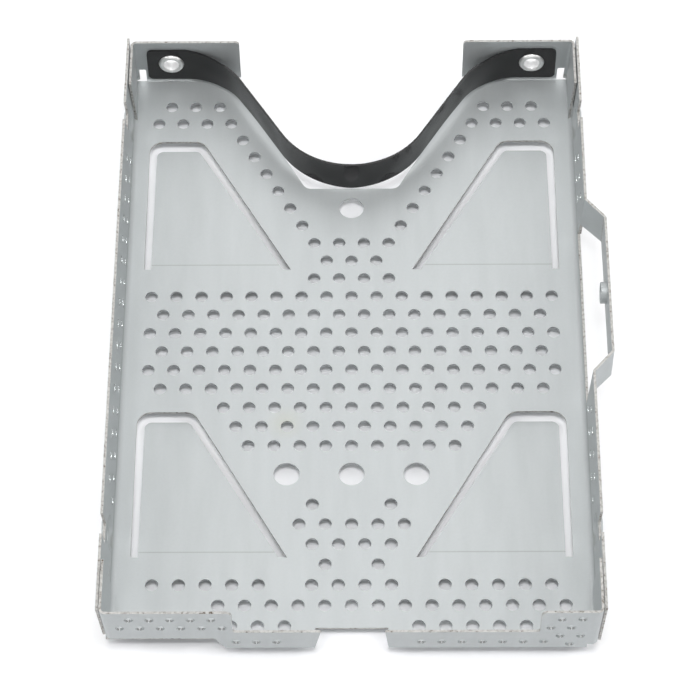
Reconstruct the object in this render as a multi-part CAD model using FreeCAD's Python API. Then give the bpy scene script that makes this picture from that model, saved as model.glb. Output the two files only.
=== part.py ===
import FreeCAD
import Part
import math
import os

# A folded sheet-metal tray for a small hard drive, with a pull strap riveted to its two far ears.
# X runs across the tray, Y from the front flange towards the strap, Z up, all in millimetres.
# The origin lies on the floor's upper face, at the centre of the floor's hole lattice.

# Sheet
SHEET = 0.4
BEND_RADIUS = 0.5
WALL_BEND_RADIUS = 0.9
INNER_WIDTH = 73.3
FRONT_END_LENGTH = 17.6
FAR_END_LENGTH = 12.4
FLOOR_FRONT_SETBACK = 3.4
FLOOR_CORNER_SETBACK = 1.8

# Round holes of the floor, on a lattice of equal triangles
PITCH = 4.0
HOLE_DIAMETER = 2.0
HOLE_SIDES = 6
HOLE_WEB = 0.8
SIDE_MARGIN = 4.0
ARM_MARGIN = 4.5
FUNNEL_MARGIN = 5.0
STEM_HALF_WIDTH = 6.5
LARGE_HOLE_DIAMETER = 4.0
LARGE_HOLE_SIDES = 12
LARGE_HOLE_SPACING = 10.0
LARGE_ROW_Y = -22.4
LARGE_SINGLE_Y = 27.7

# Cut-out of the floor under the strap
CUTOUT_Y = 31.6
CUTOUT_HALF_WIDTH = 7.5
CUTOUT_CORNER = 1.5
SLANT = math.radians(60)

# Four tongues, each cut free on three sides and bent down at its foot
TONGUE_MARGIN = 3.25
TONGUE_END_WIDTH = 8.8
TONGUE_LENGTH = 25.7
TONGUE_TOPS_Y = (41.3, -11.2)
TONGUE_SLOT = 1.15
TONGUE_CORNER = 2.3
TONGUE_NECK = 0.9
TONGUE_DROP = 1.2

# Side walls
WALL_HEIGHT = 10.5
WALL_END_GAP = 1.1
SLIT_CLEAR = 1.1
END_TAB_BOTTOM = 2.6
RIGHT_FRONT_TAB_BOTTOM = 0.5
NOTCH_WIDTH = 3.4
NOTCH_DEPTH = 3.0
NOTCH_SHIFT = 2.2
SMALL_HOLE_DIAMETER = 1.3
SMALL_HOLE_SIDES = 6
WALL_HOLE_ROW_Z = 2.7
WALL_HOLE_CLEAR = 6.0

# Drive screws, two in each wall, in round dishes pressed outwards
DRIVE_SCREW_SPACING = 76.6
DRIVE_SCREW_NEAR_Y = -34.6
DRIVE_SCREW_Z = 3.5
DRIVE_SCREW_HOLE = 3.2
DISH_RIM_DIAMETER = 5.8
DISH_SEAT_DIAMETER = 4.4
DISH_DEPTH = 0.5
DISH_LEAN = 0.25
DISH_SIDES = 12

# Bump in the right wall, with a threaded boss
BUMP_CENTRE_Y = 5.75
BUMP_LENGTH = 32.0
BUMP_OUT = 3.35
BUMP_RUN = 3.5
BUMP_BOTTOM = 3.7
BOSS_OFFSET = 0.4
BOSS_DIAMETER = 3.4
BOSS_LENGTH = 1.0
BOSS_THREAD_HOLE = 2.5

# Front flange, in a left and a right piece with a gap between them
FRONT_HEIGHT = 11.2
FRONT_LOW_HEIGHT = 5.2
FRONT_GAP_LEFT = 4.5
FRONT_LEFT_LEAN = 0.9
FRONT_GAP_RIGHT = 4.95
FRONT_RIGHT_LEAN = 0.5
FRONT_LEFT_FOOT = 18.7
FRONT_LEFT_BOTTOM = 3.4
FRONT_LEFT_RISE_RUN = 1.5
FRONT_LEFT_HIGH = 17.4
FRONT_RIGHT_FOOT_INSET = 1.85
FRONT_RIGHT_BOTTOM = 1.3
FRONT_RIGHT_HIGH = 27.6
FRONT_CORNER = 1.0
FRONT_HOLE_PITCH = 3.0
FRONT_LOW_ROW_Z = 2.2
FRONT_HIGH_ROW_Z = 6.6
FRONT_LEFT_FIRST_HOLE = 6.5
FRONT_RIGHT_FIRST_HOLE = 5.3
FRONT_HOLE_WEB = 0.2

# Ears that carry the strap
EAR_HEIGHT = 9.7
EAR_FOOT_MARGIN = 0.2
EAR_OVERHANG = 2.0
EAR_CORNER = 0.7
RELIEF_WIDTH = 1.15
RELIEF_HEIGHT = 2.7
RELIEF_CORNER = 0.3
RELIEF_INTO_FOLD = 0.2
CUTOUT_NICK = 0.4
RETURN_LENGTH = 9.0
RETURN_GAP = 0.15
RETURN_LIFT = 0.05

# Strap and eyelets
STRAP_THICKNESS = 0.35
STRAP_END_INSET = 2.6
STRAP_FREE_FROM_EYELET = 0.3
STRAP_LOOP_OVERHANG = 0.05
STRAP_LOOP_SHARE = 0.484
STRAP_SHOULDER_SHARE = 0.391
STRAP_END_BOTTOM = 0.6
STRAP_END_TOP = 8.0
STRAP_WAIST_BOTTOM = 1.6
STRAP_WAIST_X = 16.0
STRAP_MIDDLE_BOTTOM = 0.5
STRAP_MIDDLE_TOP = 6.6
STRAP_CORNER = 1.0
STRAP_WAIST_ROUNDING = 12.0
EYELET_INSET = 6.6
EYELET_Z = 4.7
EYELET_FLANGE_DIAMETER = 4.2
EYELET_BACK_DIAMETER = 3.8
EYELET_BARREL_DIAMETER = 2.9
EYELET_BORE = 2.3
EYELET_RIM = 0.45
EYELET_CLEARANCE = 0.05
EYELET_HOLE_SIDES = 12

# Places that follow from the sizes above
HALF_WIDTH = INNER_WIDTH / 2
FRONT_OUTER_Y = DRIVE_SCREW_NEAR_Y - FRONT_END_LENGTH
EAR_INNER_Y = DRIVE_SCREW_NEAR_Y + DRIVE_SCREW_SPACING + FAR_END_LENGTH
ROW_STEP = PITCH * math.sin(math.radians(60))
BEND_X = HALF_WIDTH - WALL_BEND_RADIUS
FRONT_BEND_Y = FRONT_OUTER_Y + SHEET + BEND_RADIUS
FLOOR_FRONT_Y = FRONT_OUTER_Y + FLOOR_FRONT_SETBACK
FLOOR_CORNER_Y = FRONT_OUTER_Y + FLOOR_CORNER_SETBACK
EAR_BEND_Y = EAR_INNER_Y - BEND_RADIUS
CUTOUT_END_X = CUTOUT_HALF_WIDTH + (EAR_BEND_Y - CUTOUT_Y) / math.tan(SLANT)
EAR_FOOT_X = CUTOUT_END_X + EAR_FOOT_MARGIN
EAR_INNER_X = EAR_FOOT_X - EAR_OVERHANG
RETURN_OUTER_X = HALF_WIDTH - RETURN_GAP
RETURN_BEND_X = RETURN_OUTER_X - SHEET - BEND_RADIUS
FLOOR_END_X = HALF_WIDTH + SHEET
RELIEF_X = RETURN_BEND_X - RELIEF_WIDTH
RELIEF_Y = EAR_BEND_Y + RELIEF_INTO_FOLD
FRONT_LEFT_END = FRONT_GAP_LEFT + FRONT_LEFT_LEAN
FRONT_RIGHT_END = FRONT_GAP_RIGHT + FRONT_RIGHT_LEAN
DRIVE_SCREW_YS = (DRIVE_SCREW_NEAR_Y, DRIVE_SCREW_NEAR_Y + DRIVE_SCREW_SPACING)
NEAR_SLIT_Y = DRIVE_SCREW_YS[0] - DISH_RIM_DIAMETER / 2 - SLIT_CLEAR
FAR_SLIT_Y = DRIVE_SCREW_YS[1] + DISH_RIM_DIAMETER / 2 + SLIT_CLEAR
BUMP_FOOT_YS = (BUMP_CENTRE_Y - BUMP_LENGTH / 2, BUMP_CENTRE_Y + BUMP_LENGTH / 2)
BOSS_Y = BUMP_CENTRE_Y + BOSS_OFFSET
BOSS_Z = (BUMP_BOTTOM + WALL_HEIGHT) / 2
FRONT_RIGHT_FOOT = HALF_WIDTH - FRONT_RIGHT_FOOT_INSET
EYELET_X = HALF_WIDTH - EYELET_INSET
STRAP_END_X = HALF_WIDTH - STRAP_END_INSET
STRAP_LOOP_Y = CUTOUT_Y - STRAP_LOOP_OVERHANG
STRAP_LEAVES_X = EYELET_X - EYELET_FLANGE_DIAMETER / 2 - STRAP_FREE_FROM_EYELET
STRAP_LOOP_RADIUS = STRAP_LOOP_SHARE * STRAP_LEAVES_X
STRAP_SHOULDER_RADIUS = STRAP_SHOULDER_SHARE * STRAP_LEAVES_X
TONGUE_OUTER_X = HALF_WIDTH - TONGUE_MARGIN
TONGUE_INNER_X = TONGUE_OUTER_X - TONGUE_END_WIDTH

Vector = FreeCAD.Vector
LEFT, RIGHT = -1, 1
UP = Vector(0, 0, 1)


def unit(start, end):
    """Direction from one plan point to another."""
    length = math.hypot(end[0] - start[0], end[1] - start[1])
    return ((end[0] - start[0]) / length, (end[1] - start[1]) / length)


def outline(corners):
    """Closed wire through (x, y, radius) corners, with each corner rounded by its radius."""
    edges = []
    starts, ends = [], []
    for index, (x, y, radius) in enumerate(corners):
        before = unit((x, y), corners[index - 1])
        after = unit((x, y), corners[(index + 1) % len(corners)])
        half_turn = math.acos(max(-1, min(1, before[0] * after[0] + before[1] * after[1]))) / 2
        reach = radius / math.tan(half_turn)
        start = Vector(x + before[0] * reach, y + before[1] * reach)
        end = Vector(x + after[0] * reach, y + after[1] * reach)
        starts.append(start)
        ends.append(end)
        if radius > 0:
            to_centre = unit((0, 0), (before[0] + after[0], before[1] + after[1]))
            depth = radius / math.sin(half_turn) - radius
            middle = Vector(x + to_centre[0] * depth, y + to_centre[1] * depth)
            edges.append(Part.Arc(start, middle, end).toShape())
    for index, end in enumerate(ends):
        edges.append(Part.LineSegment(end, starts[(index + 1) % len(starts)]).toShape())
    return Part.Wire(Part.__sortEdges__(edges))


def sharp(points):
    """Closed wire through plain (x, y) points."""
    return Part.makePolygon([Vector(x, y) for x, y in [*points, points[0]]])


def polygon_hole(x, y, diameter, sides):
    """Small round hole with a few flat sides, drawn inside its circle."""
    radius = diameter / 2
    angles = [2 * math.pi * (index + 0.5) / sides for index in range(sides)]
    return sharp([(x + radius * math.cos(angle), y + radius * math.sin(angle)) for angle in angles])


def eyelet_hole(x, y):
    """Flat-sided hole whose sides stand clear of an eyelet's barrel."""
    clear_diameter = EYELET_BARREL_DIAMETER + 2 * EYELET_CLEARANCE
    return polygon_hole(x, y, clear_diameter / math.cos(math.pi / EYELET_HOLE_SIDES), EYELET_HOLE_SIDES)


def circle(x, y, diameter):
    return Part.Wire(Part.makeCircle(diameter / 2, Vector(x, y)))


def plate(boundary, openings, thickness):
    """Flat sheet with its openings, from its own z = 0 upwards."""
    face = Part.makeFace([boundary, *openings], "Part::FaceMakerBullseye")
    return face.extrude(UP * thickness)


def clear(x, y, wires, distance):
    """True where a point lies at least a distance away from every wire."""
    point = Part.Vertex(x, y, 0)
    return all(point.distToShape(wire)[0] >= distance for wire in wires)


def inside(face, x, y):
    return face.isInside(Vector(x, y, 0), SHEET / 100, True)


def upright(shape, outer_y):
    """Turn a flat plate so that its y becomes Z and its lower face looks along -Y at outer_y."""
    shape.Placement = FreeCAD.Placement(Vector(0, outer_y, 0), FreeCAD.Rotation(Vector(1, 0, 0), 90))
    return shape


def bend(centre, first, second, along, radius=BEND_RADIUS):
    """Quarter of a fold: its two sheets leave it square to the first and second directions."""
    middle = (first + second) * math.sqrt(0.5)
    outside = radius + SHEET
    edges = [
        Part.Arc(centre + first * radius, centre + middle * radius, centre + second * radius),
        Part.LineSegment(centre + second * radius, centre + second * outside),
        Part.Arc(centre + second * outside, centre + middle * outside, centre + first * outside),
        Part.LineSegment(centre + first * outside, centre + first * radius),
    ]
    return Part.Face(Part.Wire([edge.toShape() for edge in edges])).extrude(along)


def cutout_x(y):
    """Half width of the strap cut-out, along its slanted side."""
    return CUTOUT_HALF_WIDTH + (y - CUTOUT_Y) / math.tan(SLANT)


def tongue_side_x(top_y, y):
    """Slanted outer side of a tongue's slot."""
    return TONGUE_INNER_X - (top_y - y) / math.tan(SLANT)


def floor_boundary():
    """Floor with the strap cut-out at its far end and steps for the front flange's two pieces."""
    corners = [(FRONT_RIGHT_END, FLOOR_FRONT_Y, 0), (FRONT_RIGHT_END, FRONT_BEND_Y, 0)]
    corners += [(FRONT_RIGHT_FOOT, FRONT_BEND_Y, 0), (FRONT_RIGHT_FOOT, FLOOR_CORNER_Y, 0)]
    edge = [(FLOOR_END_X, FLOOR_CORNER_Y), (FLOOR_END_X, NEAR_SLIT_Y), (BEND_X, NEAR_SLIT_Y)]
    edge += [(BEND_X, FAR_SLIT_Y), (FLOOR_END_X, FAR_SLIT_Y), (FLOOR_END_X, RELIEF_Y)]
    edge += [(RELIEF_X, RELIEF_Y), (RELIEF_X, EAR_BEND_Y)]
    corners += [(x, y, 0) for x, y in edge]
    corners += [(EAR_FOOT_X, EAR_BEND_Y, 0)]
    corners += [(CUTOUT_END_X - CUTOUT_NICK, EAR_BEND_Y, 0)]
    corners += [(CUTOUT_HALF_WIDTH, CUTOUT_Y, CUTOUT_CORNER), (-CUTOUT_HALF_WIDTH, CUTOUT_Y, CUTOUT_CORNER)]
    corners += [(-CUTOUT_END_X + CUTOUT_NICK, EAR_BEND_Y, 0)]
    corners += [(-EAR_FOOT_X, EAR_BEND_Y, 0)]
    corners += [(-x, y, 0) for x, y in edge[::-1]]
    corners += [(-FRONT_LEFT_FOOT, FLOOR_CORNER_Y, 0)]
    corners += [(-FRONT_LEFT_FOOT, FRONT_BEND_Y, 0), (-FRONT_LEFT_END, FRONT_BEND_Y, 0)]
    corners += [(-FRONT_LEFT_END, FLOOR_FRONT_Y, 0)]
    return outline(corners)


def tongue_opening(side, top_y):
    """Opening of one tongue: the whole panel down to its fold, and the two slot ends beside the neck."""
    foot_y = top_y - TONGUE_LENGTH
    fold_y = foot_y + TONGUE_NECK
    across = TONGUE_SLOT / math.sin(SLANT)
    corners = [
        (TONGUE_OUTER_X, top_y, TONGUE_CORNER),
        (TONGUE_INNER_X, top_y, TONGUE_CORNER),
        (tongue_side_x(top_y, foot_y), foot_y, 0),
        (tongue_side_x(top_y, foot_y) + across, foot_y, 0),
        (tongue_side_x(top_y, fold_y) + across, fold_y, 0),
        (TONGUE_OUTER_X - TONGUE_SLOT, fold_y, 0),
        (TONGUE_OUTER_X - TONGUE_SLOT, foot_y, 0),
        (TONGUE_OUTER_X, foot_y, 0),
    ]
    return outline([(side * x, y, radius) for x, y, radius in corners])


def tongue(side, top_y):
    """Sprung panel inside its slot, turned down about its fold so that its far end drops."""
    fold_y = top_y - TONGUE_LENGTH + TONGUE_NECK
    end_y = top_y - TONGUE_SLOT
    across = TONGUE_SLOT / math.sin(SLANT)
    corner = TONGUE_CORNER - TONGUE_SLOT
    corners = [
        (TONGUE_OUTER_X - TONGUE_SLOT, end_y, corner),
        (tongue_side_x(top_y, end_y) + across, end_y, corner),
        (tongue_side_x(top_y, fold_y) + across, fold_y, 0),
        (TONGUE_OUTER_X - TONGUE_SLOT, fold_y, 0),
    ]
    panel = plate(outline([(side * x, y, radius) for x, y, radius in corners]), [], SHEET)
    panel.translate(UP * -SHEET)
    drop = math.degrees(math.atan(TONGUE_DROP / (end_y - fold_y)))
    panel.rotate(Vector(0, fold_y, 0), Vector(1, 0, 0), -drop)
    return panel


def row_sites(row, nearest_x, farthest_x, sides=(LEFT, RIGHT)):
    """Lattice sites of one row between two distances from the middle; odd rows have one at the middle."""
    first = 0 if row % 2 else PITCH / 2
    count = int((farthest_x - first) / PITCH) + 1
    distances = [first + index * PITCH for index in range(max(0, count))]
    kept = [distance for distance in distances if distance >= nearest_x]
    return {(side * distance, row * ROW_STEP) for distance in kept for side in sides}


def floor_hole_sites():
    """Rows of the lattice, from the far corners down to the front flange."""
    limit = HALF_WIDTH - SIDE_MARGIN
    sites = set()
    for row in (14, 13):
        sites |= row_sites(row, cutout_x(row * ROW_STEP) + ARM_MARGIN, limit)
    for row in range(7, 13):
        nearest = cutout_x(row * ROW_STEP) + ARM_MARGIN
        sites |= row_sites(row, nearest, nearest + PITCH - SHEET)
    for row in (6, 5, 4):
        sites |= row_sites(row, 0, STEM_HALF_WIDTH)
    for row in range(-2, 4):
        sites |= row_sites(row, 0, limit)
    for row in (-3, -4, -5):
        sites |= row_sites(row, 0, tongue_side_x(TONGUE_TOPS_Y[1], row * ROW_STEP) - FUNNEL_MARGIN)
    sites |= row_sites(-8, STEM_HALF_WIDTH - PITCH / 2, STEM_HALF_WIDTH)
    sites |= row_sites(-9, 0, STEM_HALF_WIDTH + PITCH / 2)
    sites |= row_sites(-10, 0, STEM_HALF_WIDTH)
    sites |= row_sites(-11, PITCH / 2, STEM_HALF_WIDTH)
    sites |= row_sites(-12, 0, STEM_HALF_WIDTH)
    sites |= row_sites(-12, 3 * PITCH, limit)
    sites |= row_sites(-13, 0, 5 * PITCH, (LEFT,))
    sites |= row_sites(-13, 0, limit, (RIGHT,))
    sites |= row_sites(-14, 2 * PITCH, FRONT_LEFT_FOOT, (LEFT,))
    sites |= row_sites(-14, 2 * PITCH, FRONT_RIGHT_HIGH, (RIGHT,))
    return sorted(sites)


def floor_plate():
    """Perforated floor; a hole that would break into another opening is left out."""
    boundary = floor_boundary()
    openings = [tongue_opening(side, top_y) for side in (LEFT, RIGHT) for top_y in TONGUE_TOPS_Y]
    large_sites = [(0, LARGE_SINGLE_Y)] + [(step * LARGE_HOLE_SPACING, LARGE_ROW_Y) for step in (-1, 0, 1)]
    openings += [polygon_hole(x, y, LARGE_HOLE_DIAMETER, LARGE_HOLE_SIDES) for x, y in large_sites]
    reach = HOLE_DIAMETER / 2 + HOLE_WEB
    face = Part.Face(boundary)
    floor_sites = [site for site in floor_hole_sites() if inside(face, *site)]
    floor_sites = [site for site in floor_sites if clear(*site, openings, reach)]
    edge_reach = HOLE_DIAMETER / 2 + HOLE_WEB / 2
    floor_sites = [site for site in floor_sites if clear(*site, [boundary], edge_reach)]
    openings += [polygon_hole(x, y, HOLE_DIAMETER, HOLE_SIDES) for x, y in floor_sites]
    floor = plate(boundary, openings, SHEET)
    floor.translate(UP * -SHEET)
    return floor


def wall_path(side):
    """Inner face of a side wall seen from above, from front to far end."""
    path = [(HALF_WIDTH, FRONT_OUTER_Y + WALL_END_GAP)]
    if side == RIGHT:
        near, far = BUMP_FOOT_YS
        top_x = HALF_WIDTH + BUMP_OUT
        path += [(HALF_WIDTH, near), (top_x, near + BUMP_RUN), (top_x, far - BUMP_RUN), (HALF_WIDTH, far)]
    path += [(HALF_WIDTH, EAR_INNER_Y + SHEET)]
    return path


def thick_path(path):
    """Corners of the sheet on the outer side of a plan path, folded with even thickness."""
    inner, outer = [], []
    for index, (x, y) in enumerate(path):
        ahead = unit((x, y), path[index + 1]) if index + 1 < len(path) else unit(path[index - 1], (x, y))
        behind = unit(path[index - 1], (x, y)) if index > 0 else ahead
        sideways = behind[0] * ahead[1] - behind[1] * ahead[0]
        turn = math.atan2(sideways, behind[0] * ahead[0] + behind[1] * ahead[1])
        heading = math.atan2(behind[1], behind[0]) + turn / 2
        reach = SHEET / math.cos(turn / 2)
        inner_radius = 0 if turn == 0 else BEND_RADIUS / 2 + (SHEET if turn < 0 else 0)
        outer_radius = 0 if turn == 0 else BEND_RADIUS / 2 + (SHEET if turn > 0 else 0)
        inner.append((x, y, inner_radius))
        outer.append((x + math.sin(heading) * reach, y - math.cos(heading) * reach, outer_radius))
    return inner + outer[::-1]


def sideways(shape, x):
    """Turn a flat drawing so that its x becomes Y and its y becomes Z, at a place along X."""
    turn = FreeCAD.Rotation(Vector(0, 1, 0), Vector(0, 0, 1), Vector(1, 0, 0), "XYZ")
    shape.Placement = FreeCAD.Placement(Vector(x, 0, 0), turn)
    return shape


def across_wall(side, section):
    """Bar through a side wall along X, as long as the wall and its bump need."""
    length = BUMP_OUT + 4 * SHEET
    start = HALF_WIDTH - SHEET if side == RIGHT else -HALF_WIDTH + SHEET - length
    return sideways(Part.Face(section).extrude(UP * length), start)


def wall_box(side, near_y, far_y, low_z, high_z):
    """Block that cuts a side wall over its whole thickness and bump."""
    length = BUMP_OUT + 4 * SHEET
    start = HALF_WIDTH - SHEET if side == RIGHT else -HALF_WIDTH + SHEET - length
    return Part.makeBox(length, far_y - near_y, high_z - low_z, Vector(start, near_y, low_z))


def wall_hole_sites(side):
    """Two staggered rows of small holes, clear of the screw dishes and of the bump."""
    near = DRIVE_SCREW_YS[0] + WALL_HOLE_CLEAR
    far = DRIVE_SCREW_YS[1] - WALL_HOLE_CLEAR
    sites = []
    for row in (0, 1):
        z = WALL_HOLE_ROW_Z + row * ROW_STEP
        count = int((far - near - row * PITCH / 2) / PITCH) + 1
        sites += [(near + (index + row / 2) * PITCH, z) for index in range(count)]
    if side == RIGHT:
        low = BUMP_FOOT_YS[0] - PITCH / 2
        high = BUMP_FOOT_YS[1] + PITCH / 2
        sites = [(y, z) for y, z in sites if y < low or y > high]
    return sites


def dish(side, y):
    """Round dish around a drive screw, pressed outwards from the wall, with the screw hole in its seat."""
    outside = DISH_DEPTH + SHEET
    widening = 2 * DISH_LEAN

    def ring(diameter, depth):
        wire = polygon_hole(y, DRIVE_SCREW_Z, diameter, DISH_SIDES)
        return sideways(wire, side * (HALF_WIDTH + depth))

    rim = DISH_RIM_DIAMETER + widening
    seat = DISH_SEAT_DIAMETER + widening
    pressing = Part.makeLoft([ring(rim, 0), ring(rim, SHEET), ring(seat, outside)], True, True)
    hollow = Part.makeLoft([ring(DISH_RIM_DIAMETER, 0), ring(DISH_SEAT_DIAMETER, DISH_DEPTH)], True, True)
    return pressing.cut([hollow, across_wall(side, circle(y, DRIVE_SCREW_Z, DRIVE_SCREW_HOLE))])


def boss():
    """Collar drawn inwards from the bump for a machine screw."""
    start = Vector(HALF_WIDTH + BUMP_OUT - BOSS_LENGTH, BOSS_Y, BOSS_Z)
    return Part.makeCylinder(BOSS_DIAMETER / 2, BOSS_LENGTH, start, Vector(1, 0, 0))


def side_wall(side):
    """One side wall with its fold, notches, screw dishes and, on the right, the bump."""
    plan = [(side * x, y, radius) for x, y, radius in thick_path(wall_path(side))]
    wall = plate(outline(plan), [], WALL_HEIGHT)
    front_tab_bottom = RIGHT_FRONT_TAB_BOTTOM if side == RIGHT else END_TAB_BOTTOM
    cuts = [wall_box(side, FRONT_OUTER_Y, NEAR_SLIT_Y, -SHEET, front_tab_bottom)]
    cuts += [wall_box(side, NEAR_SLIT_Y, FAR_SLIT_Y, -SHEET, WALL_BEND_RADIUS)]
    cuts += [wall_box(side, FAR_SLIT_Y, EAR_INNER_Y + 2 * SHEET, -SHEET, END_TAB_BOTTOM)]
    dish_bars = [across_wall(side, polygon_hole(y, DRIVE_SCREW_Z, DISH_RIM_DIAMETER, DISH_SIDES))
                 for y in DRIVE_SCREW_YS]
    for y in DRIVE_SCREW_YS:
        notch_y = y - NOTCH_SHIFT - NOTCH_WIDTH / 2
        notch_bottom = WALL_HEIGHT - NOTCH_DEPTH
        cuts.append(wall_box(side, notch_y, notch_y + NOTCH_WIDTH, notch_bottom, WALL_HEIGHT + SHEET))
    for y, z in wall_hole_sites(side):
        cuts.append(across_wall(side, polygon_hole(y, z, SMALL_HOLE_DIAMETER, SMALL_HOLE_SIDES)))
    if side == RIGHT:
        cuts.append(wall_box(side, *BUMP_FOOT_YS, -SHEET, BUMP_BOTTOM))
    fold_start = Vector(side * BEND_X, NEAR_SLIT_Y, WALL_BEND_RADIUS)
    fold_run = Vector(0, FAR_SLIT_Y - NEAR_SLIT_Y, 0)
    fold = bend(fold_start, Vector(side, 0, 0), Vector(0, 0, -1), fold_run, WALL_BEND_RADIUS)
    wall = wall.cut(cuts).fuse(fold).cut(dish_bars)
    wall = wall.fuse([dish(side, y) for y in DRIVE_SCREW_YS])
    if side == RIGHT:
        wall = wall.fuse(boss())
        wall = wall.cut(across_wall(side, circle(BOSS_Y, BOSS_Z, BOSS_THREAD_HOLE)))
    return wall


def front_sizes(side):
    """Gap edge at the top, fold end, foot, underside and step of one piece of the front flange."""
    if side == LEFT:
        return FRONT_GAP_LEFT, FRONT_LEFT_END, FRONT_LEFT_FOOT, FRONT_LEFT_BOTTOM, FRONT_LEFT_HIGH
    return FRONT_GAP_RIGHT, FRONT_RIGHT_END, FRONT_RIGHT_FOOT, FRONT_RIGHT_BOTTOM, FRONT_RIGHT_HIGH


def front_boundary(side):
    """Outline of one piece of the front flange, in X and Z, above its fold."""
    gap, fold_end, foot, bottom, high = front_sizes(side)
    rise_run = FRONT_LEFT_RISE_RUN if side == LEFT else 0
    corners = [(fold_end, BEND_RADIUS, 0), (foot, BEND_RADIUS, 0), (foot + rise_run, bottom, 0)]
    corners += [(RETURN_BEND_X, bottom, 0), (RETURN_BEND_X, FRONT_HEIGHT, 0)]
    corners += [(high, FRONT_HEIGHT, FRONT_CORNER), (high, FRONT_LOW_HEIGHT, FRONT_CORNER / 2)]
    corners += [(gap, FRONT_LOW_HEIGHT, 0)]
    return outline([(side * x, z, radius) for x, z, radius in corners])


def front_hole_sites(side, boundary):
    """Low row along the flange, then staggered rows on its high end, clear of that row and of the edges."""
    row_step = FRONT_HOLE_PITCH * math.sin(math.radians(60))
    gap, fold_end, foot, bottom, high = front_sizes(side)
    first = gap + (FRONT_LEFT_FIRST_HOLE if side == LEFT else FRONT_RIGHT_FIRST_HOLE)
    low_count = int((high - first) / FRONT_HOLE_PITCH) + 2
    low_row = [(first + index * FRONT_HOLE_PITCH, FRONT_LOW_ROW_Z) for index in range(low_count)]
    high_rows = []
    for row in (-2, -1, 0, 1):
        start = high + FRONT_HOLE_PITCH / 2 + (FRONT_HOLE_PITCH / 2 if row % 2 else 0)
        count = int((RETURN_BEND_X - start) / FRONT_HOLE_PITCH) + 1
        z = FRONT_HIGH_ROW_Z + row * row_step
        high_rows += [(start + index * FRONT_HOLE_PITCH, z) for index in range(count)]
    apart = SMALL_HOLE_DIAMETER + FRONT_HOLE_WEB
    high_rows = [site for site in high_rows if all(math.dist(site, low) > apart for low in low_row)]
    reach = SMALL_HOLE_DIAMETER / 2 + FRONT_HOLE_WEB
    face = Part.Face(boundary)
    placed = [(side * x, z) for x, z in low_row + high_rows]
    return [site for site in placed if inside(face, *site) and clear(*site, [boundary], reach)]


def front_flange(side):
    """One piece of the front flange with its fold to the floor and its return along the wall."""
    gap, fold_end, foot, bottom, high = front_sizes(side)
    boundary = front_boundary(side)
    sites = front_hole_sites(side, boundary)
    holes = [polygon_hole(x, z, SMALL_HOLE_DIAMETER, SMALL_HOLE_SIDES) for x, z in sites]
    panel = upright(plate(boundary, holes, SHEET), FRONT_OUTER_Y + SHEET)
    fold_start = Vector(side * fold_end, FRONT_BEND_Y, BEND_RADIUS)
    fold = bend(fold_start, Vector(0, -1, 0), Vector(0, 0, -1), Vector(side * (foot - fold_end), 0, 0))
    return panel.fuse([fold, *corner_return(side, FRONT_BEND_Y, 1, bottom, FRONT_HEIGHT)])


def corner_return(side, bend_y, inwards, bottom, top):
    """Upright fold at a corner and the short return that lies just inside the wall."""
    centre = Vector(side * RETURN_BEND_X, bend_y, bottom)
    fold = bend(centre, Vector(side, 0, 0), Vector(0, -inwards, 0), UP * (top - bottom))
    length = RETURN_LENGTH - SHEET - BEND_RADIUS
    near_y = min(bend_y, bend_y + inwards * length)
    low_x = RETURN_OUTER_X - SHEET if side == RIGHT else -RETURN_OUTER_X
    tab = Part.makeBox(SHEET, length, top - bottom, Vector(low_x, near_y, bottom))
    return [fold, tab]


def ear(side):
    """Far upright that carries one end of the strap, with its fold, eyelet hole and return."""
    corners = [(EAR_INNER_X, BEND_RADIUS, 0), (RELIEF_X, BEND_RADIUS, 0)]
    corners += [(RELIEF_X, RELIEF_HEIGHT, RELIEF_CORNER), (RETURN_BEND_X, RELIEF_HEIGHT, 0)]
    corners += [(RETURN_BEND_X, EAR_HEIGHT, 0)]
    corners += [(EAR_INNER_X, EAR_HEIGHT, EAR_CORNER)]
    boundary = outline([(side * x, z, radius) for x, z, radius in corners])
    hole = eyelet_hole(side * EYELET_X, EYELET_Z)
    panel = upright(plate(boundary, [hole], SHEET), EAR_INNER_Y + SHEET)
    fold_start = Vector(side * EAR_FOOT_X, EAR_BEND_Y, BEND_RADIUS)
    fold_run = Vector(side * (RELIEF_X - EAR_FOOT_X), 0, 0)
    fold = bend(fold_start, Vector(0, 1, 0), Vector(0, 0, -1), fold_run)
    return panel.fuse([fold, *corner_return(side, EAR_BEND_Y, -1, RETURN_LIFT, EAR_HEIGHT)])


def tray():
    """Whole folded sheet as one solid."""
    pieces = [tongue(side, top_y) for side in (LEFT, RIGHT) for top_y in TONGUE_TOPS_Y]
    for side in (LEFT, RIGHT):
        pieces += [side_wall(side), front_flange(side), ear(side)]
    sheet = floor_plate().fuse(pieces).removeSplitter()
    return sheet.Solids[0] if len(sheet.Solids) == 1 else sheet


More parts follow.
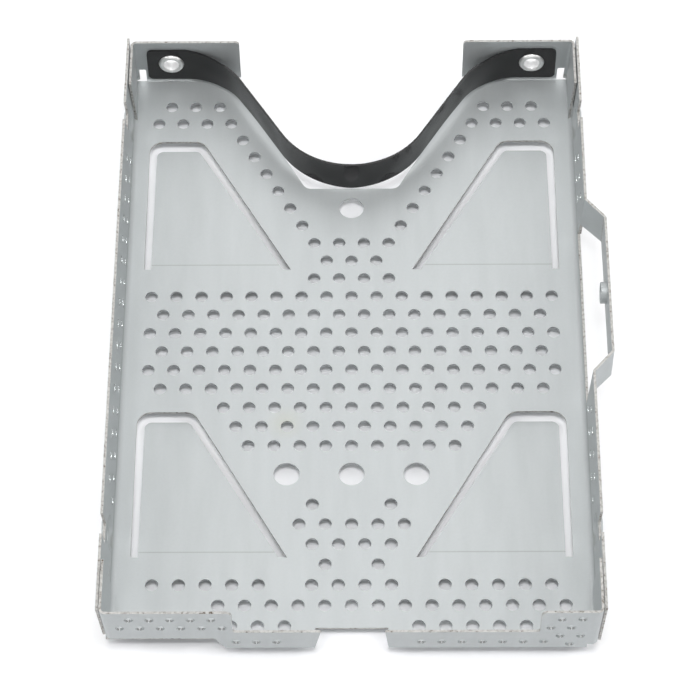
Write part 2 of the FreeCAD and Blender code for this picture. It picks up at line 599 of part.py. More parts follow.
def strap_face_edges(offset):
    """Plan line of one strap face, from left end to right, moved towards the front by an offset."""
    end_y = EAR_INNER_Y - STRAP_THICKNESS / 2 - offset
    loop_centre = Vector(0, STRAP_LOOP_Y + STRAP_LOOP_RADIUS)
    shoulder_y = EAR_INNER_Y - STRAP_THICKNESS / 2 - STRAP_SHOULDER_RADIUS
    rise = shoulder_y - loop_centre.y
    apart = math.hypot(STRAP_LEAVES_X, rise)
    turn = math.atan2(rise, STRAP_LEAVES_X) + math.asin((STRAP_LOOP_RADIUS + STRAP_SHOULDER_RADIUS) / apart)
    loop = STRAP_LOOP_RADIUS + offset
    shoulder = STRAP_SHOULDER_RADIUS - offset

    def on_shoulder(side, angle):
        x = STRAP_LEAVES_X - shoulder * math.sin(angle)
        return Vector(side * x, shoulder_y + shoulder * math.cos(angle))

    def on_loop(angle):
        return loop_centre + Vector(loop * math.sin(angle), -loop * math.cos(angle))

    return [
        Part.LineSegment(Vector(-STRAP_END_X, end_y), on_shoulder(LEFT, 0)),
        Part.Arc(on_shoulder(LEFT, 0), on_shoulder(LEFT, turn / 2), on_shoulder(LEFT, turn)),
        Part.LineSegment(on_shoulder(LEFT, turn), on_loop(-turn)),
        Part.Arc(on_loop(-turn), on_loop(0), on_loop(turn)),
        Part.LineSegment(on_loop(turn), on_shoulder(RIGHT, turn)),
        Part.Arc(on_shoulder(RIGHT, turn), on_shoulder(RIGHT, turn / 2), on_shoulder(RIGHT, 0)),
        Part.LineSegment(on_shoulder(RIGHT, 0), Vector(STRAP_END_X, end_y)),
    ]


def strap():
    """Flexible band: its plan line gives the loop, its front view the taller ends and the waists."""
    front = strap_face_edges(STRAP_THICKNESS / 2)
    back = strap_face_edges(-STRAP_THICKNESS / 2)
    caps = [Part.LineSegment(front[0].StartPoint, back[0].StartPoint)]
    caps += [Part.LineSegment(front[-1].EndPoint, back[-1].EndPoint)]
    edges = [edge.toShape() for edge in [*front, *back, *caps]]
    plan = Part.Face(Part.Wire(Part.__sortEdges__(edges))).extrude(UP * STRAP_END_TOP)
    shoulder_x = (STRAP_WAIST_X + STRAP_LEAVES_X) / 2
    half = [(STRAP_WAIST_X, STRAP_WAIST_BOTTOM, STRAP_WAIST_ROUNDING), (shoulder_x, STRAP_END_BOTTOM, 0)]
    half += [(STRAP_END_X, STRAP_END_BOTTOM, STRAP_CORNER), (STRAP_END_X, STRAP_END_TOP, STRAP_CORNER)]
    half += [(STRAP_LEAVES_X, STRAP_END_TOP, 0), (shoulder_x, STRAP_MIDDLE_TOP, 0)]
    left = [(-x, z, radius) for x, z, radius in half][::-1]
    view = plate(outline([(0, STRAP_MIDDLE_BOTTOM, 0), *half, *left]), [], EAR_INNER_Y)
    band = plan.common(upright(view, EAR_INNER_Y + SHEET))
    for side in (LEFT, RIGHT):
        bar = plate(eyelet_hole(side * EYELET_X, EYELET_Z), [], 3 * STRAP_THICKNESS)
        band = band.cut(upright(bar, EAR_INNER_Y + STRAP_THICKNESS))
    return band.Solids[0]


def eyelet(side):
    """Hollow rivet with a rolled flange on the strap and a flared rim behind the ear."""
    bore = EYELET_BORE / 2
    flange = EYELET_FLANGE_DIAMETER / 2
    barrel = EYELET_BARREL_DIAMETER / 2
    back = EYELET_BACK_DIAMETER / 2
    front_y = EAR_INNER_Y - STRAP_THICKNESS
    back_y = EAR_INNER_Y + SHEET
    crest = (bore + flange) / 2
    section = [(bore, front_y - EYELET_RIM / 2), (crest, front_y - EYELET_RIM), (flange, front_y)]
    section += [(barrel, front_y), (barrel, back_y), (back, back_y), (bore, back_y + EYELET_RIM)]
    x = side * EYELET_X
    points = [Vector(x + radius, y, EYELET_Z) for radius, y in section]
    face = Part.Face(Part.makePolygon([*points, points[0]]))
    return face.revolve(Vector(x, 0, EYELET_Z), Vector(0, 1, 0), 360)


def main():
    os.makedirs("parts", exist_ok=True)
    nodes = {"tray": tray(), "strap": strap(), "left_eyelet": eyelet(LEFT), "right_eyelet": eyelet(RIGHT)}
    for name, shape in nodes.items():
        shape.exportStep(f"parts/{name}.step")


main()
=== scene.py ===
import math

import bmesh
import bpy
from mathutils import Matrix, Vector


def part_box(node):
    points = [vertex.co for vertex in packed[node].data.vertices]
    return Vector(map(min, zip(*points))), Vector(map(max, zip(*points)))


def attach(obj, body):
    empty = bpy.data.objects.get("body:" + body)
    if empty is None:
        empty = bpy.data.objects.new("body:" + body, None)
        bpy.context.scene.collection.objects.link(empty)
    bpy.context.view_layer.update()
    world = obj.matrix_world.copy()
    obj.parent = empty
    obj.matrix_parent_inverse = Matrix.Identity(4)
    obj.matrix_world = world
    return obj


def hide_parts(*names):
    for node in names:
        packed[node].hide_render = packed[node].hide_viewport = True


# Looks for a zinc-coated drive tray with a black pull strap, lit softly on a plain white floor.
# Lengths are in metres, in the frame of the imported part, unless a comment says otherwise.

MM = 0.001

# Camera, from the perspective of the floor's hole lattice; the sensor's width is in millimetres
CAMERA_PLACE = Vector((2.05, -239.8, 375.0)) * MM
CAMERA_RIGHT = Vector((0.99996, 0.0020, -0.0091))
CAMERA_BACK = Vector((0.0087, -0.5420, 0.8403))
CAMERA_CLIP_START = 10 * MM
FOCAL_PIXELS = 2819
IMAGE_PIXELS = 680
SENSOR_WIDTH = 36.0

# Colours, linear
WHITE = (1, 1, 1, 1)
ZINC = (0.475, 0.499, 0.504, 1)
ZINC_DARK = (0.445, 0.467, 0.472, 1)
# painted shade that darkens the coat in the creases of the folds
CREASE_SHADE_TONE = (0.72, 0.72, 0.70, 1)
STAIN_TONE = (1.0, 0.985, 0.90, 1)
CUT_EDGE_PALE = (0.50, 0.495, 0.48, 1)
CUT_EDGE = (0.33, 0.322, 0.305, 1)
CUT_EDGE_SPECK = (0.10, 0.075, 0.055, 1)
PUNCHED_BRIGHT = (0.80, 0.82, 0.82, 1)
STRAP_BLACK = (0.014, 0.014, 0.0145, 1)
STRAP_DEEP_BLACK = (0.010, 0.010, 0.0105, 1)
EYELET_SILVER = (0.82, 0.82, 0.81, 1)
# painted reflection: the eyelets' insides are near-white in place of the bright light they reflect
EYELET_BORE_PAINTED_REFLECTION = (0.97, 0.97, 0.97, 1)
FLOOR_WHITE = (0.92, 0.926, 0.945, 1)

# Noises of the materials, each as its scale and detail, and where their ramps have stops
ZINC_CLOUDS = (60, 4)
ZINC_CLOUD_STRETCH = (6, 1, 1)
ZINC_GRAIN = (2500, 2)
CUT_EDGE_SPECKS = (2200, 5)
CUT_EDGE_STOPS = ((0.31, CUT_EDGE_SPECK), (0.38, CUT_EDGE), (0.60, CUT_EDGE_PALE))
STRAP_SHADES = (700, 3)
STRAP_SHEEN = (90, 2)
STRAP_RIPPLES = (110, 1)
EYELET_POLISH = (1500, 2)
NOISE_MIDDLE = (0.3, 0.7)

# Finish of the materials; a pair holds the limits of an uneven roughness
ZINC_METALLIC = 0.5
ZINC_ROUGHNESS = (0.46, 0.56)
CUT_EDGE_METALLIC = 0.5
CUT_EDGE_ROUGHNESS = 0.5
PUNCHED_ROUGHNESS = 0.2
STRAP_ROUGHNESS = (0.15, 0.24)
STRAP_SPECULAR = 0.42
STRAP_RIPPLE_STRENGTH = 0.35
STRAP_RIPPLE_HEIGHT = 2.0 * MM
EYELET_ROUGHNESS = (0.42, 0.52)
EYELET_BORE_METALLIC = 0.2
EYELET_BORE_ROUGHNESS = 0.5
FLOOR_ROUGHNESS = 0.9

# Sheet: its thickness, how its flat-sided holes are known, and how they are made round
SHEET = 0.4 * MM
HOLE_SIDES = 6
LARGE_HOLE_SIDES = 12
EVEN_RADII = 0.02
FACING_UP = 0.9
ROUND_SIDES = 28
ROUND_EXTRA = 1.003
CUTTER_REACH = 3 * SHEET

# Cut faces of the sheet: narrow strips that are flat, or curved and small
CUT_STRIP_WIDTH = 1.1 * SHEET
ARC_STRIP_AREA = 1.5 * MM * MM
FLAT_COSINE = 0.999

# Meshes: how close vertices are joined, and how edges and flat faces are shaded
WELD_DISTANCE = SHEET / 1000
SHARP_ANGLE = math.radians(32)
FLAT_FACE_WEIGHT = 100

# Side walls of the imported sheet
WALL_FOOT_X = 35.75 * MM
WALL_OUTER_X = 37.05 * MM
WALL_HEIGHT = 10.5 * MM

# Their lean: how far each foot stands in and each top out, at the far and near end of the sheet;
# where it starts in the floor, and where the feet's shift fades out before the ears
LEFT_FOOT_IN = (0.57 * MM, 0.57 * MM)
LEFT_TOP_OUT = (0.0, 0.15 * MM)
RIGHT_FOOT_IN = (0.05 * MM, 0.25 * MM)
RIGHT_TOP_OUT = (0.50 * MM, 0.15 * MM)
LEAN_STARTS_X = 33.6 * MM
FOOT_FADE_YS = (44.0 * MM, 50.0 * MM)

# Their folds, which are carried on from a slit to the front flange
NEAR_SLIT_Y = -38.6 * MM
NEAR_FOLD_END_Y = -50.6 * MM
FOLD_TOP_Z = 0.9 * MM
FLOOR_BORDER_X = 36.9 * MM
NARROW = 0.02 * MM

# Painted shade: dark lines where shade falls in the creases of the folds
WALL_CREASE_Z = FOLD_TOP_Z
WALL_CREASE_HALF = 0.4 * MM
TONGUE_CREASE_YS = (16.5 * MM, -36.0 * MM)
TONGUE_CREASE_XS = (11.6 * MM, 32.25 * MM)
TONGUE_CREASE_HALF = 0.16 * MM
CREASE_FADE = 0.2 * MM

# Faint stain on the floor of the tray
STAIN_PLACE = Vector((-10.3, -13.2, 0.0)) * MM
STAIN_RADIUS = 3.2 * MM

# Eyelets
EYELET_BORE_RADIUS = 1.2 * MM
EYELET_BARREL_RADIUS = 1.45 * MM
EYELET_RIM = 0.45 * MM
EYELET_BORE_MARGIN = 0.1 * MM
EYELET_TURN_STEPS = 56
EYELET_ROLL_STEPS = 10

# Stage: the floor, its glow beside and under the part, and the world's light
FLOOR_SIZE = 4.0
FLOOR_GAP = 0.2 * MM
FLOOR_GLOW = 0.55
FLOOR_GLOW_UNDER = 0.08
FLOOR_GLOW_FADE = 1.0 * MM
WORLD_STRENGTH = 0.3

# Lights, which look at the origin: name, place, side and power in watts
LIGHT_AIM = Vector((0, 0, 0))
LIGHTS = (
    ("key", (0, -0.2, 1.5), 0.5, 10.4),
    ("back", (0, 1.4, 1.4), 1.2, 7),
    ("rim", (0, 1.6, 0.7), 0.9, 4),
    ("front", (0, -1.6, 0.7), 0.9, 5),
    ("left", (-1.2, 0, 0.9), 0.8, 8.8),
    ("right", (1.2, 0, 0.9), 0.8, 9.6),
)


def new_material(name):
    """Node material with one principled shader; returns the material, its nodes, links and shader."""
    material = bpy.data.materials.new(name)
    material.use_nodes = True
    nodes = material.node_tree.nodes
    return material, nodes, material.node_tree.links, nodes["Principled BSDF"]


def ramp(nodes, links, factor, stops):
    """Colour ramp driven by a socket, from (position, colour) stops."""
    node = nodes.new("ShaderNodeValToRGB")
    elements = node.color_ramp.elements
    while len(elements) < len(stops):
        elements.new(0.5)  # gets its place below
    for element, (position, colour) in zip(elements, stops):
        element.position = position
        element.color = colour
    links.new(factor, node.inputs["Fac"])
    return node.outputs["Color"]


def noise_ramp(nodes, links, factor, first, second):
    """Ramp from one colour to another over the middle of a noise's range."""
    return ramp(nodes, links, factor, list(zip(NOISE_MIDDLE, (first, second))))


def noise(nodes, links, scale, detail, stretch=(1, 1, 1)):
    """Noise in the part's own coordinates; stretch makes it finer along an axis."""
    place = nodes.new("ShaderNodeTexCoord")
    spread = nodes.new("ShaderNodeMapping")
    spread.inputs["Scale"].default_value = stretch
    node = nodes.new("ShaderNodeTexNoise")
    node.inputs["Scale"].default_value = scale
    node.inputs["Detail"].default_value = detail
    links.new(place.outputs["Object"], spread.inputs["Vector"])
    links.new(spread.outputs["Vector"], node.inputs["Vector"])
    return node.outputs["Fac"]


def uneven_roughness(nodes, links, shader, factor, limits):
    """Roughness that follows a noise between two limits."""
    low, high = limits
    grey = noise_ramp(nodes, links, factor, (low, low, low, 1), (high, high, high, 1))
    links.new(grey, shader.inputs["Roughness"])


def calculate(nodes, links, operation, first, second=None):
    """Math node on sockets or numbers."""
    node = nodes.new("ShaderNodeMath")
    node.operation = operation
    for socket, value in zip(node.inputs, (first, second)):
        if isinstance(value, bpy.types.NodeSocket):
            links.new(value, socket)
        elif value is not None:
            socket.default_value = value
    return node.outputs["Value"]


def fade(nodes, links, value, zero_at, one_at):
    """0 to 1 between two values of a socket."""
    node = nodes.new("ShaderNodeMapRange")
    node.inputs["From Min"].default_value = zero_at
    node.inputs["From Max"].default_value = one_at
    links.new(value, node.inputs["Value"])
    return node.outputs["Result"]


def line_at(nodes, links, value, centre, half_width):
    """1 where a socket has a value, 0 from half a line's width away."""
    away = calculate(nodes, links, "SUBTRACT", value, centre)
    away = calculate(nodes, links, "ABSOLUTE", away)
    return fade(nodes, links, away, half_width, 0)


def part_coordinates(nodes, links):
    """Sockets of a point's distance from the middle plane, its y and its z."""
    place = nodes.new("ShaderNodeTexCoord")
    split = nodes.new("ShaderNodeSeparateXYZ")
    links.new(place.outputs["Object"], split.inputs["Vector"])
    across = calculate(nodes, links, "ABSOLUTE", split.outputs["X"])
    return across, split.outputs["Y"], split.outputs["Z"]


def painted_fold_shade(nodes, links):
    """Where painted shade darkens the sheet in a line: along the walls' folds and at the tongues' feet."""
    across, along, up = part_coordinates(nodes, links)
    at_wall = fade(nodes, links, across, WALL_FOOT_X - SHEET, WALL_FOOT_X)
    wall = line_at(nodes, links, up, WALL_CREASE_Z, WALL_CREASE_HALF)
    lines = calculate(nodes, links, "MULTIPLY", at_wall, wall)
    inner_x, outer_x = TONGUE_CREASE_XS
    past_inner = fade(nodes, links, across, inner_x - CREASE_FADE, inner_x)
    short_of_outer = fade(nodes, links, across, outer_x + CREASE_FADE, outer_x)
    along_foot = calculate(nodes, links, "MULTIPLY", past_inner, short_of_outer)
    for y in TONGUE_CREASE_YS:
        foot = line_at(nodes, links, along, y, TONGUE_CREASE_HALF)
        foot = calculate(nodes, links, "MULTIPLY", foot, along_foot)
        lines = calculate(nodes, links, "MAXIMUM", lines, foot)
    return lines


def stain(nodes, links):
    """1 at the middle of the faint stain, 0 from its rim."""
    place = nodes.new("ShaderNodeTexCoord")
    away = nodes.new("ShaderNodeVectorMath")
    away.operation = "DISTANCE"
    links.new(place.outputs["Object"], away.inputs[0])
    away.inputs[1].default_value = STAIN_PLACE
    return fade(nodes, links, away.outputs["Value"], STAIN_RADIUS, 0)


def tinted(nodes, links, colour, share, tone):
    """A colour multiplied by a tone where a share socket is 1."""
    tint = ramp(nodes, links, share, [(0.0, WHITE), (1.0, tone)])
    node = nodes.new("ShaderNodeMix")
    node.data_type = "RGBA"
    node.blend_type = "MULTIPLY"
    node.inputs["Factor"].default_value = 1.0
    links.new(colour, node.inputs["A"])
    links.new(tint, node.inputs["B"])
    return node.outputs["Result"]


def zinc_material():
    """Satin zinc coat: faint cloudy tone, painted shade along the fold lines, one stain, fine grain in its
    gloss.
    """
    material, nodes, links, shader = new_material("zinc_sheet")
    clouds = noise(nodes, links, *ZINC_CLOUDS, stretch=ZINC_CLOUD_STRETCH)
    colour = noise_ramp(nodes, links, clouds, ZINC_DARK, ZINC)
    # painted shade: darker lines in the creases of the walls' folds and at the tongues' feet
    colour = tinted(nodes, links, colour, painted_fold_shade(nodes, links), CREASE_SHADE_TONE)
    colour = tinted(nodes, links, colour, stain(nodes, links), STAIN_TONE)
    links.new(colour, shader.inputs["Base Color"])
    uneven_roughness(nodes, links, shader, noise(nodes, links, *ZINC_GRAIN), ZINC_ROUGHNESS)
    shader.inputs["Metallic"].default_value = ZINC_METALLIC
    return material


def edge_material():
    """Raw cut edge, warmer than the coat and specked with brown."""
    material, nodes, links, shader = new_material("cut_edge")
    colour = ramp(nodes, links, noise(nodes, links, *CUT_EDGE_SPECKS), CUT_EDGE_STOPS)
    links.new(colour, shader.inputs["Base Color"])
    shader.inputs["Metallic"].default_value = CUT_EDGE_METALLIC
    shader.inputs["Roughness"].default_value = CUT_EDGE_ROUGHNESS
    return material


def punched_material():
    """Bright metal inside the small holes of the walls and the flange."""
    material, _, _, shader = new_material("punched_hole")
    shader.inputs["Base Color"].default_value = PUNCHED_BRIGHT
    shader.inputs["Metallic"].default_value = 1.0
    shader.inputs["Roughness"].default_value = PUNCHED_ROUGHNESS
    return material


def strap_material():
    """Glossy black film with a faint grain and shallow ripples."""
    material, nodes, links, shader = new_material("black_strap")
    shades = noise(nodes, links, *STRAP_SHADES)
    colour = noise_ramp(nodes, links, shades, STRAP_DEEP_BLACK, STRAP_BLACK)
    links.new(colour, shader.inputs["Base Color"])
    uneven_roughness(nodes, links, shader, noise(nodes, links, *STRAP_SHEEN), STRAP_ROUGHNESS)
    shader.inputs["Specular IOR Level"].default_value = STRAP_SPECULAR
    ripple = nodes.new("ShaderNodeBump")
    ripple.inputs["Strength"].default_value = STRAP_RIPPLE_STRENGTH
    ripple.inputs["Distance"].default_value = STRAP_RIPPLE_HEIGHT
    links.new(noise(nodes, links, *STRAP_RIPPLES), ripple.inputs["Height"])
    links.new(ripple.outputs["Normal"], shader.inputs["Normal"])
    return material


def eyelet_material():
    """Bright nickel with a slightly uneven polish."""
    material, nodes, links, shader = new_material("eyelet_metal")
    uneven_roughness(nodes, links, shader, noise(nodes, links, *EYELET_POLISH), EYELET_ROUGHNESS)
    shader.inputs["Base Color"].default_value = EYELET_SILVER
    shader.inputs["Metallic"].default_value = 1.0
    return material


def painted_reflection_bore_material():
    """Inside of an eyelet, pale and dull: its white is a painted reflection of the bright light that the
    bore shows.
    """
    material, _, _, shader = new_material("eyelet_bore_painted_reflection")
    shader.inputs["Base Color"].default_value = EYELET_BORE_PAINTED_REFLECTION
    shader.inputs["Metallic"].default_value = EYELET_BORE_METALLIC
    shader.inputs["Roughness"].default_value = EYELET_BORE_ROUGHNESS
    return material


def boundary_loops(mesh):
    """Closed rims of the flat faces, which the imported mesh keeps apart: (points, face normal) for each."""
    work = bmesh.new()
    work.from_mesh(mesh)
    rims = {edge for edge in work.edges if edge.is_boundary}
    loops = []
    while rims:
        edge = rims.pop()
        normal = edge.link_faces[0].normal.copy()
        start, current = edge.verts
        points = [start.co.copy()]
        while current != start:
            points.append(current.co.copy())
            edge = next((e for e in current.link_edges if e in rims), None)
            if edge is None:
                break
            rims.remove(edge)
            current = edge.other_vert(current)
        loops.append((points, normal))
    work.free()
    return loops


def round_rims(mesh):
    """Centre, axis and radius of each flat-sided hole to be rounded, counted once for its two faces."""
    found = []
    for points, normal in boundary_loops(mesh):
        large_in_floor = len(points) == LARGE_HOLE_SIDES and normal.z > FACING_UP
        if len(points) != HOLE_SIDES and not large_in_floor:
            continue
        centre = sum(points, Vector()) / len(points)
        radii = [(point - centre).length for point in points]
        even = max(radii) - min(radii) < EVEN_RADII * max(radii)
        first_face = sum(normal) > 0
        if even and first_face:
            found.append((centre, normal, max(radii)))
    return found


def hole_cutter(mesh, coat, bright):
    """Round bars through the holes, as one hidden mesh: coated in the floor, bright elsewhere."""
    work = bmesh.new()
    for centre, axis, radius in round_rims(mesh):
        turn = axis.to_track_quat("Z", "Y").to_matrix().to_4x4()
        bar = bmesh.ops.create_cone(
            work, cap_ends=True, segments=ROUND_SIDES, radius1=radius * ROUND_EXTRA,
            radius2=radius * ROUND_EXTRA, depth=2 * CUTTER_REACH, matrix=Matrix.Translation(centre) @ turn)
        for face in {face for vertex in bar["verts"] for face in vertex.link_faces}:
            face.material_index = 0 if axis.z > FACING_UP else 1
    bars = bpy.data.meshes.new("hole_bars")
    work.to_mesh(bars)
    work.free()
    bars.materials.append(coat)
    bars.materials.append(bright)
    cutter = bpy.data.objects.new("hole_bars", bars)
    cutter.hide_render = True
    bpy.context.scene.collection.objects.link(cutter)
    return cutter


def face_islands(mesh):
    """Groups of faces that share edges, each as (face numbers, area, rim length, whether it is flat)."""
    work = bmesh.new()
    work.from_mesh(mesh)
    unseen = set(work.faces)
    groups = []
    while unseen:
        stack = [unseen.pop()]
        group = []
        while stack:
            face = stack.pop()
            group.append(face)
            for edge in face.edges:
                for other in edge.link_faces:
                    if other in unseen:
                        unseen.remove(other)
                        stack.append(other)
        area = sum(face.calc_area() for face in group)
        rim = sum(edge.calc_length() for face in group for edge in face.edges if edge.is_boundary)
        flat = all(face.normal.dot(group[0].normal) > FLAT_COSINE for face in group)
        groups.append(([face.index for face in group], area, rim, flat))
    work.free()
    return groups


def mark_cut_faces(mesh):
    """Second material on the narrow faces where the sheet was cut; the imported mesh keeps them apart."""
    for faces, area, rim, flat in face_islands(mesh):
        strip = 2 * area / rim < CUT_STRIP_WIDTH
        cut = strip and (flat or area < ARC_STRIP_AREA)
        for index in faces:
            mesh.polygons[index].material_index = 1 if cut else 0


def smooth_step(low, high, value):
    """0 to 1 between two values, level at both."""
    share = min(max((value - low) / (high - low), 0), 1)
    return share * share * (3 - 2 * share)


def extend_folds(mesh):
    """The walls' folds run on to the front flange, over the slit at their near ends."""
    for vertex in mesh.vertices:
        x, y, z = vertex.co
        at_slit = abs(y - NEAR_SLIT_Y) < NARROW
        in_fold = WALL_FOOT_X + NARROW < abs(x) < FLOOR_BORDER_X and NARROW < z < FOLD_TOP_Z + NARROW
        if at_slit and in_fold:
            vertex.co.y = NEAR_FOLD_END_Y


def lean_walls(mesh):
    """Side walls lean outwards: their feet come in with the floor's border, and their tops go out."""
    far_y = max(vertex.co.y for vertex in mesh.vertices)
    near_y = min(vertex.co.y for vertex in mesh.vertices)
    bump_x = max(vertex.co.x for vertex in mesh.vertices)
    for vertex in mesh.vertices:
        x, y, z = vertex.co
        nearness = (far_y - y) / (far_y - near_y)
        foot_in, top_out = (RIGHT_FOOT_IN, RIGHT_TOP_OUT) if x > 0 else (LEFT_FOOT_IN, LEFT_TOP_OUT)
        foot = foot_in[0] + nearness * (foot_in[1] - foot_in[0])
        foot *= 1 - smooth_step(*FOOT_FADE_YS, y)
        top = top_out[0] + nearness * (top_out[1] - top_out[0])
        height = min(max(z / WALL_HEIGHT, 0), 1)
        at_wall = smooth_step(LEAN_STARTS_X, WALL_FOOT_X, abs(x))
        on_bump = smooth_step(WALL_OUTER_X, bump_x, abs(x))
        outwards = (top * height - foot * (1 - height)) * at_wall * (1 - on_bump)
        vertex.co.x += outwards if x > 0 else -outwards


def settle(piece):
    """Makes a piece's modifiers part of its mesh."""
    graph = bpy.context.evaluated_depsgraph_get()
    mesh = bpy.data.meshes.new_from_object(piece.evaluated_get(graph))
    piece.modifiers.clear()
    piece.data = mesh


def shade_by_angle(piece):
    """Smooth shading on curved faces, with flat faces left flat and sharp edges sharp."""
    piece.data.shade_smooth()
    piece.data.set_sharp_from_angle(angle=SHARP_ANGLE)
    weights = piece.modifiers.new("flat_faces", "WEIGHTED_NORMAL")
    weights.weight = FLAT_FACE_WEIGHT
    weights.keep_sharp = True


def new_piece(name, mesh, node):
    """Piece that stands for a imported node."""
    piece = bpy.data.objects.new(name, mesh)
    bpy.context.scene.collection.objects.link(piece)
    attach(piece, "root")
    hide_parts(node)
    return piece


def add_tray(tray, coat, edge, bright):
    """The folded sheet: coat on the broad faces, raw metal on the cut ones, round holes, leaning walls."""
    mesh = tray.data.copy()
    mesh.materials.clear()
    mesh.materials.append(coat)
    mesh.materials.append(edge)
    mark_cut_faces(mesh)
    normals = mesh.attributes.get("custom_normal")
    if normals:
        mesh.attributes.remove(normals)
    sheet = new_piece("tray_sheet", mesh, "tray")
    weld = sheet.modifiers.new("weld", "WELD")
    weld.merge_threshold = WELD_DISTANCE
    rounding = sheet.modifiers.new("round_holes", "BOOLEAN")
    rounding.operation = "DIFFERENCE"
    rounding.solver = "EXACT"
    rounding.material_mode = "TRANSFER"
    cutter = hole_cutter(mesh, coat, bright)
    rounding.object = cutter
    settle(sheet)
    bpy.data.objects.remove(cutter)
    extend_folds(sheet.data)
    lean_walls(sheet.data)
    shade_by_angle(sheet)


def eyelet_section(flange, front, back):
    """Half section of a hollow rivet as (radius, y): rolled flange in front, barrel, flared rim behind."""
    roll = (flange - EYELET_BORE_RADIUS) / 2
    middle = EYELET_BORE_RADIUS + roll
    points = []
    for step in range(EYELET_ROLL_STEPS + 1):
        angle = math.pi * step / EYELET_ROLL_STEPS
        points.append((middle - roll * math.cos(angle), front + EYELET_RIM * (1 - math.sin(angle))))
    points += [(EYELET_BARREL_RADIUS, front + EYELET_RIM), (EYELET_BARREL_RADIUS, back - EYELET_RIM)]
    flare = flange - EYELET_RIM / 2
    points += [(flare, back - EYELET_RIM), (flare, back - EYELET_RIM / 2)]
    points += [(EYELET_BARREL_RADIUS, back), (EYELET_BORE_RADIUS, back)]
    return points


def add_eyelet(node, silver, bore):
    """Hollow rivet turned from its section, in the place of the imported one."""
    low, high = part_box(node)
    centre = (low + high) / 2
    flange = (high.x - low.x) / 2
    work = bmesh.new()
    section = [work.verts.new((centre.x + radius, y, centre.z))
               for radius, y in eyelet_section(flange, low.y, high.y)]
    outline = [work.edges.new((a, b)) for a, b in zip(section, section[1:] + section[:1])]
    bmesh.ops.spin(work, geom=[*section, *outline], cent=(centre.x, 0, centre.z), axis=(0, 1, 0),
                   angle=2 * math.pi, steps=EYELET_TURN_STEPS, use_merge=True)
    bmesh.ops.remove_doubles(work, verts=work.verts, dist=WELD_DISTANCE)
    bmesh.ops.recalc_face_normals(work, faces=work.faces)
    for face in work.faces:
        radii = [math.hypot(vertex.co.x - centre.x, vertex.co.z - centre.z) for vertex in face.verts]
        # faces inside the bore take the painted reflection
        in_bore = max(radii) < EYELET_BARREL_RADIUS - EYELET_BORE_MARGIN
        face.material_index = 1 if in_bore else 0
    mesh = bpy.data.meshes.new(node + "_metal")
    work.to_mesh(mesh)
    work.free()
    mesh.materials.append(silver)
    mesh.materials.append(bore)
    shade_by_angle(new_piece(node + "_metal", mesh, node))


def paint(item, material):
    """One material for the whole of an object."""
    item.data.materials.clear()
    item.data.materials.append(material)


def add_camera():
    """Camera at the photo's place, turned so that its axes match the fitted perspective."""
    data = bpy.data.cameras.new("camera")
    data.sensor_width = SENSOR_WIDTH
    data.lens = FOCAL_PIXELS / IMAGE_PIXELS * SENSOR_WIDTH
    data.clip_start = CAMERA_CLIP_START
    camera = bpy.data.objects.new("camera", data)
    back = CAMERA_BACK.normalized()
    up = back.cross(CAMERA_RIGHT).normalized()
    right = up.cross(back)
    turn = Matrix((right, up, back)).transposed().to_4x4()
    camera.matrix_world = Matrix.Translation(CAMERA_PLACE) @ turn
    bpy.context.scene.collection.objects.link(camera)
    bpy.context.scene.camera = camera


def outside_part(nodes, links, low, high):
    """0 on the floor between the part's walls and ends, 1 beside it."""
    across, along, _ = part_coordinates(nodes, links)
    outside = fade(nodes, links, across, WALL_FOOT_X, WALL_FOOT_X + FLOOR_GLOW_FADE)
    for end, beyond in ((low.y, low.y - FLOOR_GLOW_FADE), (high.y, high.y + FLOOR_GLOW_FADE)):
        past_end = fade(nodes, links, along, end, beyond)
        outside = calculate(nodes, links, "MAXIMUM", outside, past_end)
    return outside


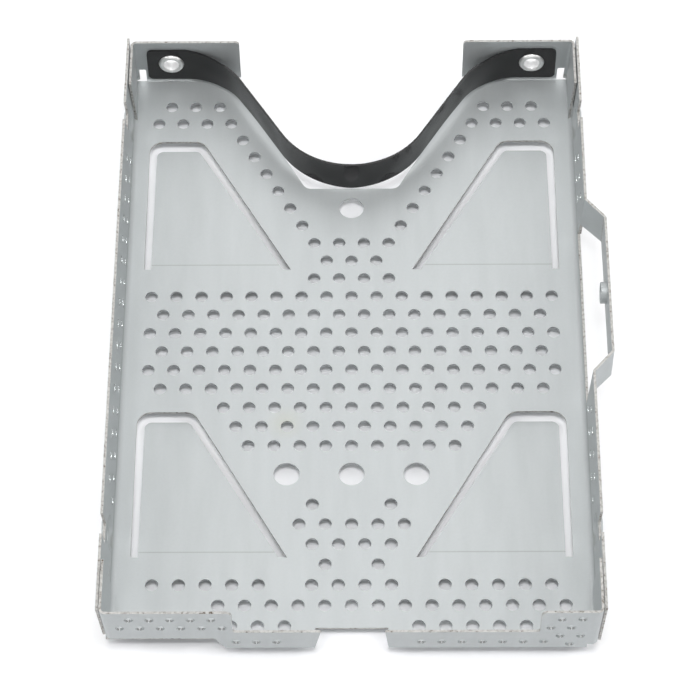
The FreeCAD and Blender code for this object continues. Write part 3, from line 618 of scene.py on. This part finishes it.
def add_floor(low, high):
    """Plain white floor with a glow that keeps the shadow pale, weaker under the part."""
    bpy.ops.mesh.primitive_plane_add(size=FLOOR_SIZE, location=(0, 0, low.z - FLOOR_GAP))
    floor = bpy.context.object
    floor.name = "floor"
    material, nodes, links, shader = new_material("floor_white")
    outside = outside_part(nodes, links, low, high)
    shader.inputs["Base Color"].default_value = FLOOR_WHITE
    shader.inputs["Roughness"].default_value = FLOOR_ROUGHNESS
    glow = nodes.new("ShaderNodeEmission")
    path = nodes.new("ShaderNodeLightPath")
    seen = calculate(nodes, links, "MAXIMUM", path.outputs["Is Camera Ray"], path.outputs["Is Glossy Ray"])
    seen = calculate(nodes, links, "MAXIMUM", seen, path.outputs["Is Transmission Ray"])
    glowing = calculate(nodes, links, "MAXIMUM", outside, FLOOR_GLOW_UNDER)
    share = calculate(nodes, links, "MULTIPLY", seen, glowing)
    share = calculate(nodes, links, "MULTIPLY", share, FLOOR_GLOW)
    mixed = nodes.new("ShaderNodeMixShader")
    links.new(share, mixed.inputs["Fac"])
    links.new(shader.outputs["BSDF"], mixed.inputs[1])
    links.new(glow.outputs["Emission"], mixed.inputs[2])
    links.new(mixed.outputs["Shader"], nodes["Material Output"].inputs["Surface"])
    paint(floor, material)


def add_light(name, place, side, power):
    """Soft square light that looks at the part."""
    data = bpy.data.lights.new(name, "AREA")
    data.size = side
    data.energy = power
    light = bpy.data.objects.new(name, data)
    light.location = place
    light.rotation_euler = (LIGHT_AIM - Vector(place)).to_track_quat("-Z", "Y").to_euler()
    bpy.context.scene.collection.objects.link(light)


def set_world():
    """Even white light from all around."""
    world = bpy.data.worlds.new("studio")
    world.use_nodes = True
    background = world.node_tree.nodes["Background"]
    background.inputs["Color"].default_value = WHITE
    background.inputs["Strength"].default_value = WORLD_STRENGTH
    bpy.context.scene.world = world


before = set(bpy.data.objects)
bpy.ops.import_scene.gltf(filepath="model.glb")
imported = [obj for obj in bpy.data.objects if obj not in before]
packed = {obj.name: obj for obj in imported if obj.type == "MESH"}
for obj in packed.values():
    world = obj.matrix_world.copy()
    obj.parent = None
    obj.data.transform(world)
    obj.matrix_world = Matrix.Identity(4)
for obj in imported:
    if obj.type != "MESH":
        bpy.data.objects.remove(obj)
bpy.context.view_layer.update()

bpy.context.scene.view_settings.view_transform = "Standard"

add_tray(packed["tray"], zinc_material(), edge_material(), punched_material())
paint(packed["strap"], strap_material())
silver = eyelet_material()
# the eyelets' insides carry a painted reflection
bore = painted_reflection_bore_material()
for name in ("left_eyelet", "right_eyelet"):
    add_eyelet(name, silver, bore)

add_camera()
add_floor(*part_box("tray"))
set_world()
for light in LIGHTS:
    add_light(*light)
